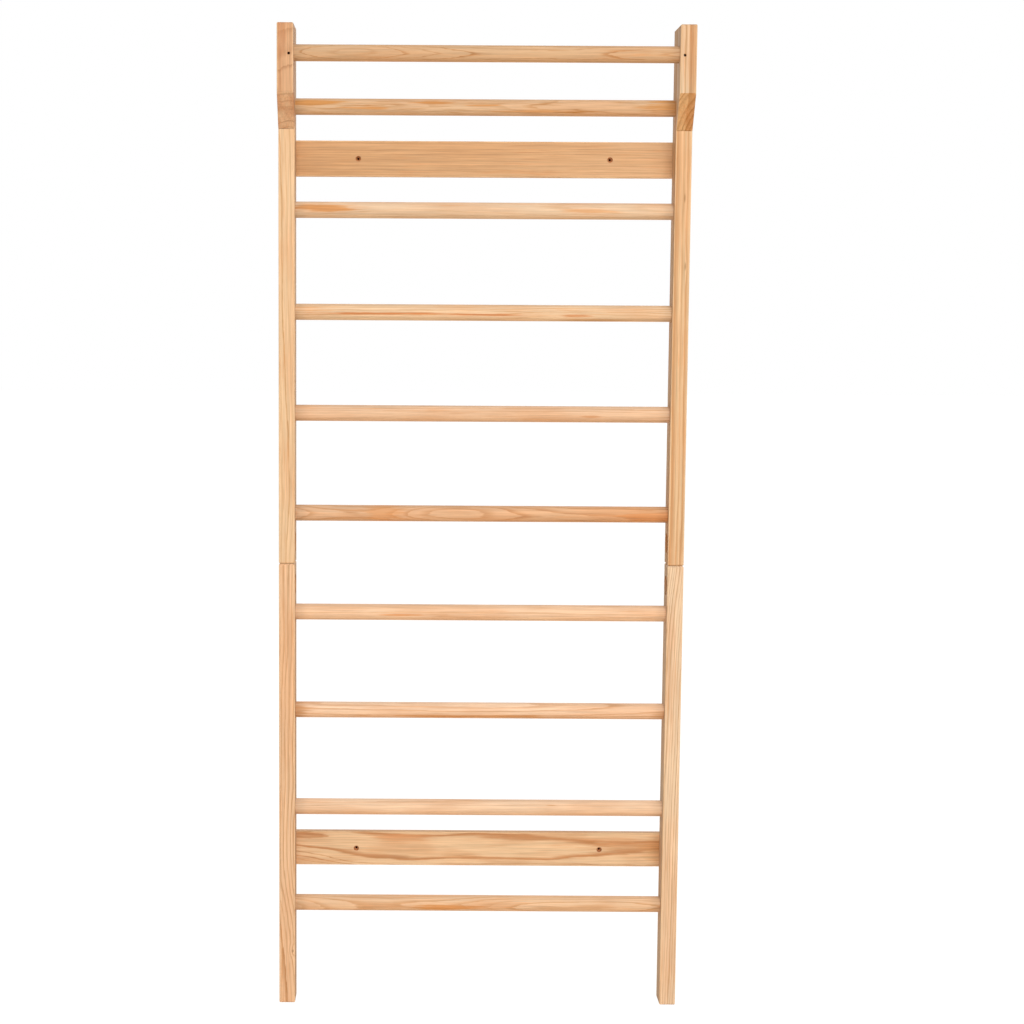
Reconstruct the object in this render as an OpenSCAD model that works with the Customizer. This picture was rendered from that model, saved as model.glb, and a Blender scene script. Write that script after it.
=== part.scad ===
// Wooden wall bars: two spliced uprights with stepped heads, nine rungs, a forward pull-up rung
// and two wall boards. Millimetres, +Z up, wall side at +Y, floor at z = 0.

/* [Overall] */
// Height from the floor to the top of the heads
total_h = 2200; // [2000:5:2300]
// Width over the outer faces of the uprights
total_w = 908; // [760:4:1100]

/* [Uprights] */
// Width of an upright, side to side
upright_w = 36; // [34:1:44]
// Depth of an upright, front to back
upright_d = 60; // [58:1:80]
// Radius of the long edges
edge_r = 3; // [1:0.5:5]
// Chamfer round the feet and the tops
end_chamfer = 2; // [1:0.5:4]
// Chamfer on the side edges of the sloped underside
slope_chamfer = 1; // [0.5:0.5:2]

/* [Heads] */
// How far a head block stands forward of the upright
head_jut = 50; // [46:1:80]
// Height of the head block's front face
head_front_h = 146; // [120:1:160]
// Rise of the sloped underside from the upright to the front face
slope_rise = 77; // [50:1:90]

/* [Rungs] */
// Diameter of every rung
rung_d = 36; // [30:1:38]
// Height of the lowest rung's axis
first_rung_z = 228; // [180:1:235]
// Distance of the ninth rung's axis below the top
last_rung_drop = 172; // [160:1:200]
// Depth of the blind sockets that hold the rungs
socket_depth = 20; // [14:1:24]
// Radial clearance of a rung in its socket
socket_clear = 0.1; // [0.05:0.05:0.3]
// Clearance between a rung's end and the socket's floor
socket_end_clear = 0.5; // [0.2:0.1:1]
// Chamfer on a rung's ends
rung_chamfer = 1.5; // [0.5:0.5:3]
// Height of the pull-up rung's axis below the top
top_rung_drop = 62; // [50:1:70]
// Distance of the pull-up rung's axis behind the head's front face
top_rung_setback = 25; // [23:1:28]

/* [Splice] */
// Diameter of the round nut pockets
pocket_d = 45; // [40:1:48]
// Distance of a pocket's centre from the seam
pocket_offset = 48; // [44:1:56]
// Depth of a pocket from the inner face
pocket_depth = 27; // [24:1:30]
// Chamfer round the seam
seam_chamfer = 3; // [1:0.5:4]
// Diameter of the threaded rod
rod_d = 8; // [6:1:10]
// Radial clearance round the rod in the wood
rod_clear = 0.5; // [0.2:0.1:1]
// Length of rod standing past each nut
rod_stickout = 5; // [3:0.5:7]
// Chamfer on the rod's ends
rod_chamfer = 1; // [0.5:0.1:1.5]
// Nut size across flats
nut_af = 13; // [13:0.5:17]
// Nut thickness
nut_t = 6.5; // [5:0.5:8]
// Width of a half-moon washer across the upright
washer_w = 16; // [14:0.5:20]
// Length of a half-moon washer front to back
washer_l = 24; // [18:0.5:28]
// Thickness of a half-moon washer at its middle
washer_t = 6; // [4:0.5:7]
// Bore clearance of nut and washer on the rod
bore_clear = 0.1; // [0.05:0.05:0.3]
// Diameter of the alignment dowels
dowel_d = 8; // [6:1:10]
// Length of the alignment dowels
dowel_len = 50; // [36:1:52]
// Distance between the two dowels of a seam
dowel_span = 42; // [38:1:44]
// Radial clearance of a dowel in its hole
dowel_clear = 0.1; // [0.05:0.05:0.3]
// Clearance past each end of a dowel
dowel_end_clear = 0.5; // [0.2:0.1:1]

/* [Wall boards] */
// Height of a wall board
board_h = 79; // [70:1:90]
// Thickness of a wall board
board_t = 18; // [15:1:22]
// Height of the lower board's middle line above the lowest rung's axis
lower_board_rise = 119; // [110:1:125]
// How far the upper board's middle line lies above the middle of its bay
upper_board_shift = 2; // [0:1:10]
// Radius of the boards' long edges
board_edge_r = 2; // [1:0.5:3]
// Spacing of the wall screw holes along a board
wall_hole_span = 560; // [400:5:600]
// Diameter of the wall screw holes
wall_hole_d = 5; // [4:0.5:8]
// Wood left behind a wall screw hole, which the screw cuts through
wall_hole_skin = 3; // [1:0.5:5]
// Diameter of the counterbores for the wall screws' heads
wall_sink_d = 12; // [10:0.5:16]
// Depth of the counterbores
wall_sink_depth = 7; // [4:0.5:9]

/* [Screws] */
// Diameter of the board screws
screw_d = 5; // [4:0.5:6]
// Diameter of the board screws' countersunk heads
screw_head_d = 9.5; // [8:0.5:11]
// Length of the board screws
screw_len = 50; // [40:1:60]
// Distance between the two screws at each end of a board
screw_span = 44; // [30:1:50]
// Diameter of the rung screws
lock_d = 4; // [3:0.5:5]
// Diameter of the rung screws' heads
lock_head_d = 6; // [5.5:0.5:9]
// Length of the rung screws
lock_len = 30; // [24:1:36]
// Depth of the rung screws' heads below the wood
lock_sink = 5; // [1:0.5:6]
// How far the rung screws lie below the pull-up rung's axis
lock_drop = 3.5; // [0:0.5:6]
// Radial clearance round every screw
screw_clear = 0.1; // [0.05:0.05:0.3]
// Clearance past every screw's tip
screw_tip_clear = 1; // [0.5:0.5:2]
// Size of the square drive recess in every screw
drive_size = 2.5; // [2:0.1:3]
// Depth of the drive recess
drive_depth = 1.5; // [1:0.1:2]

/* [Hidden] */
$fn = 48;
over = 1;
depth_total = head_jut + upright_d + board_t;
head_front_y = -depth_total / 2;
upright_front_y = head_front_y + head_jut;
upright_back_y = upright_front_y + upright_d;
board_back_y = upright_back_y + board_t;
rung_y = upright_front_y + upright_d / 2;
side_x = total_w / 2 - upright_w / 2;
inner_x = total_w / 2 - upright_w;
rung_len = 2 * (inner_x + socket_depth - socket_end_clear);
top_rung_z = total_h - top_rung_drop;
top_rung_y = head_front_y + top_rung_setback;
slope_top_z = total_h - head_front_h;
slope_low_z = slope_top_z - slope_rise;
slope_angle = atan2(slope_rise, head_jut);
slope_len = norm([slope_rise, head_jut]);
rung_count = 9;
lower_rungs = 4;
rung_pitch = (total_h - last_rung_drop - first_rung_z) / (rung_count - 1);
seam_z = (rung_z(lower_rungs) + rung_z(lower_rungs + 1)) / 2;
upper_board_z = (rung_z(rung_count - 1) + rung_z(rung_count)) / 2 + upper_board_shift;
lower_board_z = first_rung_z + lower_board_rise;
pocket_wall = pocket_offset - pocket_d / 2;
rod_x = inner_x + pocket_depth / 2;
nut_seat = pocket_wall + washer_t;
rod_end = nut_seat + nut_t + rod_stickout;
screw_x = side_x;
lock_x = inner_x + socket_depth / 2;
lock_y = head_front_y + lock_sink;
lock_z = top_rung_z - lock_drop;
wall_hole_depth = board_t - wall_hole_skin;
pine = [0.83, 0.66, 0.47];
steel = [0.72, 0.73, 0.75];
black_steel = [0.10, 0.10, 0.10];
beech = [0.80, 0.62, 0.42];

function rung_z(k) = first_rung_z + (k - 1) * rung_pitch;

// Rectangle with round corners, centred
module round_rect(w, d, r) {
  square([w - 2 * r, d], center = true);
  square([w, d - 2 * r], center = true);
  for (sx = [-1, 1])
    for (sy = [-1, 1])
      translate([sx * (w / 2 - r), sy * (d / 2 - r)])
        circle(r);
}

// Bar along X with a square section set on its corner, for cutting a chamfer of size c
module chamfer_bar(length, c) {
  rotate([45, 0, 0])
    cube([length, c * sqrt(2), c * sqrt(2)], center = true);
}

// The four chamfer cuts round a rectangular end at z = 0
module end_cuts(w, d, c) {
  for (s = [-1, 1]) {
    translate([0, s * d / 2, 0])
      chamfer_bar(w + 2 * over, c);
    translate([s * w / 2, 0, 0])
      rotate([0, 0, 90])
        chamfer_bar(d + 2 * over, c);
  }
}

// Countersunk or plain screw along +Y, its head's top at y = 0
module screw(d, head_d, length, gap, drive) {
  difference() {
    rotate([-90, 0, 0]) {
      cylinder(d1 = head_d + 2 * gap, d2 = d + 2 * gap, h = (head_d - d) / 2);
      cylinder(d = d + 2 * gap, h = length);
    }
    if (drive)
      translate([0, drive_depth / 2 - over / 2, 0])
        cube([drive_size, drive_depth + over, drive_size], center = true);
  }
}

module at_splice_ends() {
  for (s = [-1, 1])
    translate([rod_x, rung_y, seam_z])
      rotate([s > 0 ? 0 : 180, 0, 0])
          children();
}

// Blind rung socket on the right-hand side
module socket(y, z) {
  translate([inner_x - over, y, z])
    rotate([0, 90, 0])
      cylinder(d = rung_d + 2 * socket_clear, h = socket_depth + over);
}

// Pocket, rod hole and dowel holes of one seam, on the right-hand side
module splice_cuts() {
  for (s = [-1, 1])
    translate([inner_x - over, rung_y, seam_z + s * pocket_offset])
      rotate([0, 90, 0])
        cylinder(d = pocket_d, h = pocket_depth + over);
  translate([rod_x, rung_y, seam_z])
    cylinder(d = rod_d + 2 * rod_clear, h = 2 * pocket_offset, center = true);
  for (s = [-1, 1])
    translate([side_x, rung_y + s * dowel_span / 2, seam_z])
      cylinder(d = dowel_d + 2 * dowel_clear, h = dowel_len + 2 * dowel_end_clear, center = true);
}

// Screws that hold a board to the right-hand upright, driven from the wall side
module board_screw_pair(z, gap, drive) {
  for (s = [-1, 1])
    translate([screw_x, board_back_y, z + s * screw_span / 2])
      rotate([0, 0, 180])
        screw(screw_d, screw_head_d, screw_len + (drive ? 0 : screw_tip_clear), gap, drive);
}

// Screw that holds one end of the pull-up rung, driven from the front
module lock_screw(gap, drive) {
  translate([lock_x, lock_y, lock_z])
    screw(lock_d, lock_head_d, lock_len + (drive ? 0 : screw_tip_clear), gap, drive);
}

module lock_screw_cuts() {
  lock_screw(screw_clear, false);
  translate([lock_x, lock_y, lock_z])
    rotate([90, 0, 0])
      cylinder(d = lock_head_d + 2 * screw_clear, h = lock_sink + over);
}

module lower_upright() {
  difference() {
    translate([side_x, rung_y, 0])
      difference() {
        linear_extrude(seam_z)
          round_rect(upright_w, upright_d, edge_r);
        end_cuts(upright_w, upright_d, end_chamfer);
        translate([0, 0, seam_z])
          end_cuts(upright_w, upright_d, seam_chamfer);
      }
    for (k = [1 : lower_rungs])
      socket(rung_y, rung_z(k));
    splice_cuts();
    board_screw_pair(lower_board_z, screw_clear, false);
  }
}

// Upright and head block as one outline, from the sloped underside to the top
module head_outline() {
  difference() {
    translate([side_x, (head_front_y + upright_back_y) / 2, slope_low_z])
      linear_extrude(total_h - slope_low_z)
        round_rect(upright_w, upright_d + head_jut, edge_r);
    translate([side_x, upright_front_y, slope_low_z])
      rotate([-slope_angle, 0, 0])
        translate([-upright_w / 2 - over, -slope_len - over, -slope_len])
          cube([upright_w + 2 * over, slope_len + over, slope_len]);
    for (s = [-1, 1])
      translate([side_x + s * upright_w / 2, upright_front_y, slope_low_z])
        rotate([-slope_angle, 0, 0])
          translate([0, -slope_len / 2, 0])
            rotate([0, 0, 90])
              chamfer_bar(slope_len, slope_chamfer);
    translate([side_x, (head_front_y + upright_back_y) / 2, total_h])
      end_cuts(upright_w, upright_d + head_jut, end_chamfer);
  }
}

module upper_upright() {
  difference() {
    union() {
      translate([side_x, rung_y, seam_z])
        linear_extrude(slope_low_z - seam_z)
          round_rect(upright_w, upright_d, edge_r);
      intersection() {
        head_outline();
        translate([inner_x - over, upright_front_y, slope_low_z])
          cube([upright_w + 2 * over, upright_d + over, total_h]);
      }
    }
    translate([side_x, rung_y, seam_z])
      end_cuts(upright_w, upright_d, seam_chamfer);
    for (k = [lower_rungs + 1 : rung_count])
      socket(rung_y, rung_z(k));
    splice_cuts();
    board_screw_pair(upper_board_z, screw_clear, false);
  }
}

module head_block() {
  difference() {
    intersection() {
      head_outline();
      translate([inner_x - over, upright_front_y - head_jut - over, slope_low_z])
        cube([upright_w + 2 * over, head_jut + over, total_h]);
    }
    socket(top_rung_y, top_rung_z);
    lock_screw_cuts();
  }
}

// Rung along X with chamfered ends
module rung_bar(y, z) {
  translate([0, y, z])
    rotate([0, 90, 0]) {
      cylinder(d = rung_d, h = rung_len - 2 * rung_chamfer, center = true);
      for (s = [0, 180])
        rotate([s, 0, 0])
          translate([0, 0, rung_len / 2 - rung_chamfer])
            cylinder(d1 = rung_d, d2 = rung_d - 2 * rung_chamfer, h = rung_chamfer);
    }
}

module rung(k) {
  color(pine)
    rung_bar(rung_y, rung_z(k));
}

module wall_board(z) {
  difference() {
    translate([0, upright_back_y + board_t / 2, z])
      rotate([0, 90, 0])
        linear_extrude(total_w, center = true)
          round_rect(board_h, board_t, board_edge_r);
    for (s = [-1, 1])
      translate([s * wall_hole_span / 2, upright_back_y - over, z])
        rotate([-90, 0, 0]) {
          cylinder(d = wall_hole_d, h = wall_hole_depth + over);
          cylinder(d = wall_sink_d, h = wall_sink_depth + over);
        }
    for (m = [0, 1])
      mirror([m, 0, 0])
        board_screw_pair(z, screw_clear, false);
  }
}

module board_screws(z) {
  color(steel)
    for (m = [0, 1])
      mirror([m, 0, 0])
        board_screw_pair(z, 0, true);
}

module splice_rod() {
  color(steel)
    translate([rod_x, rung_y, seam_z]) {
      cylinder(d = rod_d, h = 2 * (rod_end - rod_chamfer), center = true);
      for (s = [0, 180])
        rotate([s, 0, 0])
          translate([0, 0, rod_end - rod_chamfer])
            cylinder(d1 = rod_d, d2 = rod_d - 2 * rod_chamfer, h = rod_chamfer);
    }
}

module splice_nuts() {
  color(steel)
    at_splice_ends()
      translate([0, 0, nut_seat])
        difference() {
          rotate([0, 0, 30])
            cylinder(d = nut_af / cos(30), h = nut_t, $fn = 6);
          translate([0, 0, -over])
            cylinder(d = rod_d + 2 * bore_clear, h = nut_t + 2 * over);
        }
}

// Half-moon washers: round against the pocket's wall, flat under the nut
module splice_washers() {
  color(steel)
    at_splice_ends()
      difference() {
        intersection() {
          translate([0, 0, pocket_offset])
            rotate([0, 90, 0])
              cylinder(d = pocket_d - 2 * bore_clear, h = washer_w, center = true);
          translate([-washer_w, -washer_l / 2, 0])
            cube([2 * washer_w, washer_l, nut_seat]);
        }
        cylinder(d = rod_d + 2 * bore_clear, h = pocket_offset);
      }
}

module splice_dowels() {
  color(beech)
    for (s = [-1, 1])
      translate([side_x, rung_y + s * dowel_span / 2, seam_z])
        cylinder(d = dowel_d, h = dowel_len, center = true);
}

module left_upright_lower() {
  color(pine)
    mirror([1, 0, 0])
      lower_upright();
}

module right_upright_lower() {
  color(pine)
    lower_upright();
}

module left_upright_upper() {
  color(pine)
    mirror([1, 0, 0])
      upper_upright();
}

module right_upright_upper() {
  color(pine)
    upper_upright();
}

module left_head_block() {
  color(pine)
    mirror([1, 0, 0])
      head_block();
}

module right_head_block() {
  color(pine)
    head_block();
}

module top_rung() {
  color(pine)
    difference() {
      rung_bar(top_rung_y, top_rung_z);
      for (m = [0, 1])
        mirror([m, 0, 0])
          lock_screw(screw_clear, false);
    }
}

module top_rung_screws() {
  color(black_steel)
    for (m = [0, 1])
      mirror([m, 0, 0])
        lock_screw(0, true);
}

module upper_wall_board() {
  color(pine)
    wall_board(upper_board_z);
}

module lower_wall_board() {
  color(pine)
    wall_board(lower_board_z);
}

left_upright_lower();
left_upright_upper();
left_head_block();
right_upright_lower();
right_upright_upper();
right_head_block();
rung(1);  // rung_1
rung(2);  // rung_2
rung(3);  // rung_3
rung(4);  // rung_4
rung(5);  // rung_5
rung(6);  // rung_6
rung(7);  // rung_7
rung(8);  // rung_8
rung(9);  // rung_9
top_rung();
upper_wall_board();
lower_wall_board();
mirror([1, 0, 0]) splice_rod();  // left_splice_rod
splice_rod();  // right_splice_rod
mirror([1, 0, 0]) splice_nuts();  // left_splice_nuts
splice_nuts();  // right_splice_nuts
mirror([1, 0, 0]) splice_washers();  // left_splice_washers
splice_washers();  // right_splice_washers
mirror([1, 0, 0]) splice_dowels();  // left_splice_dowels
splice_dowels();  // right_splice_dowels
top_rung_screws();
board_screws(upper_board_z);  // upper_board_screws
board_screws(lower_board_z);  // lower_board_screws
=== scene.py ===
import bpy
import bmesh
from math import radians, sin, cos, tau
from mathutils import Matrix, Vector


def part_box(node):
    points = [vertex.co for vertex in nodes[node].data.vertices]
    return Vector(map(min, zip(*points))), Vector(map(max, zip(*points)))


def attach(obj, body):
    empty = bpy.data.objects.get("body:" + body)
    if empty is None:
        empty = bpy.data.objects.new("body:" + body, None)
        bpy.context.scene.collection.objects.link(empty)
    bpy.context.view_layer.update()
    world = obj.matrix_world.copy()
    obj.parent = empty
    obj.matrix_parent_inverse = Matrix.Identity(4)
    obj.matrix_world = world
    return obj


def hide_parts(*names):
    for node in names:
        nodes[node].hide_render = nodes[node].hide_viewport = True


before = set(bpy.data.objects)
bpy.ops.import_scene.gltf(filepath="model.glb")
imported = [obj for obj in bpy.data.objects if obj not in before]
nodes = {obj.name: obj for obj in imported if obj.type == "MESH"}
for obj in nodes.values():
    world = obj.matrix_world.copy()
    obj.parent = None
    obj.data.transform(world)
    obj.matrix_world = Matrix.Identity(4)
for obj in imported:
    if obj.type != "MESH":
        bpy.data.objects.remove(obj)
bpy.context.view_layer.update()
mm = 1000                    # millimetres in a metre
print("stage: frame loaded,", len(nodes), "nodes")


def toLinear(hexColour):
    parts = [int(hexColour[i:i + 2], 16) / 255 for i in (1, 3, 5)]
    return tuple(p / 12.92 if p <= 0.04045 else ((p + 0.055) / 1.055) ** 2.4 for p in parts) + (1.0,)


def addNode(tree, kind, settings=None, links=None, **options):
    # a link starts at a socket, or at the first output of a node
    node = tree.nodes.new("ShaderNode" + kind)
    for name, value in options.items():
        setattr(node, name, value)
    for socket, value in (settings or {}).items():
        node.inputs[socket].default_value = value
    for socket, source in (links or {}).items():
        if isinstance(source, bpy.types.Node):
            source = source.outputs[0]
        tree.links.new(source, node.inputs[socket])
    return node


def newMaterial(name):
    material = bpy.data.materials.new(name)
    material.use_nodes = True
    material.node_tree.nodes.clear()
    return material, material.node_tree


# clear-lacquered pine, planed or turned: growth rings cut by the surface, long fibre streaks,
# slow changes of tone, darker end grain, edges rubbed pale with a painted highlight, and painted
# light and shade on faces by which way they look and in drilled hollows; sizes in millimetres
pineDefaults = {
    "grain": "Z",
    "pith": (70, 40),        # heart of the tree from the piece's middle
    "tilt": (0.4, 0.3),      # degrees that the grain leans across the piece
    "bend": (),              # share of the length and how far the grain has moved sideways there
    "dive": (),              # the same, but how far it has moved away from the room
    "knots": (),             # place across and along, size, how far it pushes the rings, how drawn out it is
    "stains": (),            # share of the length, place across, share and width it covers, colour, amount
    "seamEnd": 0,            # the end, -1 or 1, at which glue and dirt mark a joint
    "bores": (),             # place across and along, depth of the rim, radius of rim and core, of drilled holes that get painted shade
    "pocket": (),            # the end that it is near, distance from that end, radius; there the drilled pocket gets painted shade
    "ringWidth": 6.0,
    "warp": 8,               # how far the rings wander
    "ripple": 1.4,           # short waves in each ring
    "ringStrength": 0.75,
    "endShade": 0,           # how much darker a rung is near the uprights: painted shade where they meet
    "innerFaceShade": 1.0,         # level of the face towards the rungs, a painted shade on the inner faces
    "slopeLightAndShade": (),         # levels of red, green and blue on faces that lean down towards the room: painted light above 1, painted shade below 1
    "lateStart": 0.35,       # share of a year's growth at which the wood starts to darken
    "early": "#efc497",
    "late": "#c98949",
    "blush": "#dca273",
    "blushAmount": 0.3,
    "blushSize": 50,
    "flame": "#d08a4c",      # resin
    "flameAmount": 0.35,
    "streak": 0.08,
    "fibre": 0.14,
    "seed": 0,
    "edges": True,           # long edges that the lacquer is rubbed off, paler partly from wear and partly as a painted highlight
    "dark": 0,               # share of darker heartwood on one side
    "darkSide": 1,
    "tones": ("#ffffff", "#ffffff"),   # tint at the low and the high end
}

patternSpread = (0.3, 0.7)   # between these lie most values of a cloudy pattern

# what all the pine shares; a pattern is how far it is drawn out along the grain, its size across
# the grain, its detail and its roughness; a pair ending in Range is where something starts and is full
pineLook = {
    "wander": (7, 62, 2.0, 0.45),      # slow waves in the rings
    "ripples": (14, 5.5, 3.0, 0.6),    # short waves in them
    "fibres": (50, 2.3, 4.0, 0.62),    # real ones are finer; drawn this coarse so that they show
    "streaks": (40, 6.5, 3.0, 0.6),    # of lighter and darker wood
    "licks": (24, 5.0, 3.0, 0.65),     # of resin
    "clusters": (6, 24, 1.0, 0.5),     # where the resin gathers
    "patchStretch": 4,                 # slow changes of tone, as wide as a piece's blushSize
    "patchDetail": 2.0,
    "blushRange": (0.4, 0.66),
    "clusterRange": (0.36, 0.62),
    "clusterLow": 0.25,                # share of the resin outside the clusters
    "lickRange": (0.5, 0.7),
    "stainRange": (1.15, 0.5),         # in shares of the stain's size, from its middle
    "stainRagged": 3.0,                # how ragged its edge is
    "seedStep": (173.0, 91.0, 517.0),  # moves the patterns, so that no two pieces are alike
    "bendReach": 60,                   # largest sideways move of the grain either way
    "yearDrift": 2.0,                  # years' growth by which the ring width drifts
    "driftScale": 0.05,
    "lateEnd": 0.93,                   # share of a year's growth at which the dark wood stops
    "faintYear": 0.35,                 # the faintest ring as a share of the strongest
    "endGrain": 0.8,                   # level of end grain, which drinks more lacquer
    "endGrainRange": (0.6, 0.98),      # these four go by how squarely a face looks that way
    "innerFaceShadeRange": (0.6, 0.95),
    "slopeRange": (-0.35, -0.5),
    "undersideRange": (-0.8, -0.95),
    "shadeRange": (385, 418),          # from a rung's middle; it meets the upright at the second
    "heart": "#ecdccc",
    "heartBlur": 1.5,
    "knotReach": 5.0,                  # how far a knot pushes the rings, in knot sizes
    "knotBlur": (0.2, 1.2),
    "knot": "#946a42",
    "knotAmount": 0.6,
    "seam": "#5c3f30",
    "seamAmount": 0.8,
    "seamRange": (1.1, 0.5),           # from the joint
    "seamSpots": (0.3, 0.55),
    "seamFaint": 0.6,                  # the faintest stretch as a share of the darkest
    # painted shade in the drilled splice pockets
    "pocket": "#b8702f",
    "pocketShadeAmount": 0.5,
    "pocketRange": (0.1, 0.6),         # under the surface
    "pocketWall": (2, 4),              # wood behind the pocket that keeps its colour
    # painted shade in drilled holes: brown in the counterbore, nearly black in the narrow hole
    "bore": "#b8672f",
    "boreShadeAmount": 0.6,
    "boreRange": (0.1, 1.5),           # under the surface
    "hole": "#431500",
    "holeRange": (0, 1),               # under the rim
    "backRange": (1, 2),               # wood at the back that keeps its colour
    "drillBlur": (0.1, 0.4),           # past the edge of what is drilled
    # paler edges: partly wear, partly a painted highlight
    "wornAndHighlight": "#f4d3a8",
    "wornRange": (3.2, 0.6),           # from the edge
    "wornSpots": (0.35, 0.6),
    "wornAmounts": (0.2, 0.8),
    "roughness": (0.62, 0.74),
    "roughRange": (0.3, 0.75),
    "wornRoughness": 0.14,             # more, where the edge is worn
    "ior": 1.5,
    "specular": 0.08,
    "ringRelief": -0.5,                # late wood lies lower, as a share of the fibres' relief
    "reliefStrength": 0.25,
    "reliefHeight": 0.0004,            # in metres
}


def grainSpace(tree, s, middle):
    # places in millimetres from the piece's middle, z along the grain, and which way the surface faces
    place = addNode(tree, "TexCoord")
    turn = radians(90) if s["grain"] == "X" else 0
    local = addNode(tree, "Mapping", {"Location": middle, "Rotation": (0, turn, 0), "Scale": (1 / mm,) * 3},
                    {"Vector": place.outputs["Object"]}, vector_type="TEXTURE")
    shift = [s["seed"] * step for step in pineLook["seedStep"]]
    shifted = addNode(tree, "VectorMath", {1: shift}, {0: local}, operation="ADD")
    parts = addNode(tree, "SeparateXYZ", links={0: local})
    normal = addNode(tree, "SeparateXYZ", links={0: place.outputs["Normal"]})
    return {"local": local, "shifted": shifted,
            "x": parts.outputs[0], "y": parts.outputs[1], "z": parts.outputs[2],
            "sideways": normal.outputs[0], "upwards": normal.outputs[2]}


def grainPattern(tree, space, stretch, size, detail, roughness=0.5):
    drawn = addNode(tree, "VectorMath", {1: (1, 1, 1 / stretch)}, {0: space["shifted"]}, operation="MULTIPLY")
    return addNode(tree, "TexNoise", {"Scale": 1 / size, "Detail": detail, "Roughness": roughness},
                   {"Vector": drawn})


def shareOfLength(tree, s, space):
    return addNode(tree, "MapRange", {1: -s["halfLength"], 2: s["halfLength"]}, {0: space["z"]})


def grainPath(tree, s, space, points):
    # how far the grain has moved along the piece, as a curve through a few chosen points
    reach = pineLook["bendReach"]
    curve = addNode(tree, "FloatCurve", links={"Value": shareOfLength(tree, s, space)})
    line = curve.mapping.curves[0]
    spots = [(along, 0.5 + aside / (2 * reach)) for along, aside in points]
    line.points[0].location = spots[0]
    line.points[1].location = spots[-1]
    for spot in spots[1:-1]:
        line.points.new(*spot)
    curve.mapping.update()
    return addNode(tree, "MapRange", {3: reach, 4: -reach}, {0: curve})


def bentGrain(tree, s, space):
    ways = enumerate(("bend", "dive"))
    moves = {axis: grainPath(tree, s, space, s[way]) for axis, way in ways if s[way]}
    move = addNode(tree, "CombineXYZ", links=moves)
    return addNode(tree, "VectorMath", links={0: space["local"], 1: move}, operation="ADD")


def knotDistance(tree, knot, space):
    # in knot sizes, from its middle
    across, along, size, _, drawnOut = knot
    offset = addNode(tree, "VectorMath", {1: (across, 0, along)}, {0: space["local"]}, operation="SUBTRACT")
    oval = addNode(tree, "VectorMath", {1: (1 / size, 0, 1 / size / drawnOut)}, {0: offset},
                   operation="MULTIPLY")
    return addNode(tree, "VectorMath", links={0: oval}, operation="LENGTH").outputs["Value"]


def growthRings(tree, s, space):
    # the distance from the pith, counted in years: each ends in a band of dark late wood
    wander = grainPattern(tree, space, *pineLook["wander"])
    centred = addNode(tree, "VectorMath", {1: (0.5, 0.5, 0.5)}, {0: wander.outputs["Color"]},
                      operation="SUBTRACT")
    push = addNode(tree, "VectorMath", {1: (s["warp"] * 2, s["warp"] * 2, 0)}, {0: centred},
                   operation="MULTIPLY")
    warped = addNode(tree, "VectorMath", links={0: bentGrain(tree, s, space), 1: push}, operation="ADD")
    fromPith = addNode(tree, "Mapping", {
        "Location": (-s["pith"][0], -s["pith"][1], 0),
        "Rotation": (radians(s["tilt"][0]), radians(s["tilt"][1]), 0)}, {"Vector": warped})
    flat = addNode(tree, "VectorMath", {1: (1, 1, 0)}, {0: fromPith}, operation="MULTIPLY")
    radius = addNode(tree, "VectorMath", links={0: flat}, operation="LENGTH")
    ripples = grainPattern(tree, space, *pineLook["ripples"])
    rippled = addNode(tree, "Math", {1: s["ripple"] * 2}, {0: ripples, 2: radius.outputs["Value"]},
                      operation="MULTIPLY_ADD")
    drift = addNode(tree, "TexNoise", {"Scale": pineLook["driftScale"], "Detail": 1.0}, {"W": rippled},
                    noise_dimensions="1D")
    count = addNode(tree, "Math", {1: s["ringWidth"]}, {0: rippled}, operation="DIVIDE")
    phase = addNode(tree, "Math", {1: pineLook["yearDrift"]}, {0: drift, 2: count}, operation="MULTIPLY_ADD")
    for knot in s["knots"]:
        swell = addNode(tree, "MapRange", {1: 0.0, 2: pineLook["knotReach"], 3: knot[3], 4: 0.0},
                        {0: knotDistance(tree, knot, space)}, interpolation_type="SMOOTHSTEP")
        phase = addNode(tree, "Math", links={0: phase, 1: swell}, operation="ADD")
    year = addNode(tree, "Math", links={0: phase}, operation="FLOOR")
    season = addNode(tree, "Math", links={0: phase}, operation="FRACT")
    yearTone = addNode(tree, "TexWhiteNoise", links={"W": year}, noise_dimensions="1D")
    rise = addNode(tree, "MapRange", {1: s["lateStart"], 2: pineLook["lateEnd"]}, {0: season},
                   interpolation_type="SMOOTHSTEP")
    fall = addNode(tree, "MapRange", {1: pineLook["lateEnd"], 2: 1.0, 3: 1.0, 4: 0.0}, {0: season},
                   interpolation_type="SMOOTHSTEP")
    band = addNode(tree, "Math", links={0: rise, 1: fall}, operation="MULTIPLY")
    strength = addNode(tree, "MapRange", {3: s["ringStrength"] * pineLook["faintYear"], 4: s["ringStrength"]},
                       {0: yearTone})
    return addNode(tree, "Math", links={0: band, 1: strength}, operation="MULTIPLY"), warped


def ringColour(tree, s, rings, patches):
    start, full = pineLook["blushRange"]
    blushing = addNode(tree, "MapRange", {1: start, 2: full, 4: s["blushAmount"]}, {0: patches},
                       interpolation_type="SMOOTHSTEP")
    plain = addNode(tree, "Mix", {6: toLinear(s["early"]), 7: toLinear(s["late"])}, {0: rings},
                    data_type="RGBA")
    return addNode(tree, "Mix", {7: toLinear(s["blush"])}, {0: blushing, 6: plain.outputs[2]},
                   data_type="RGBA").outputs[2]


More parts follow.
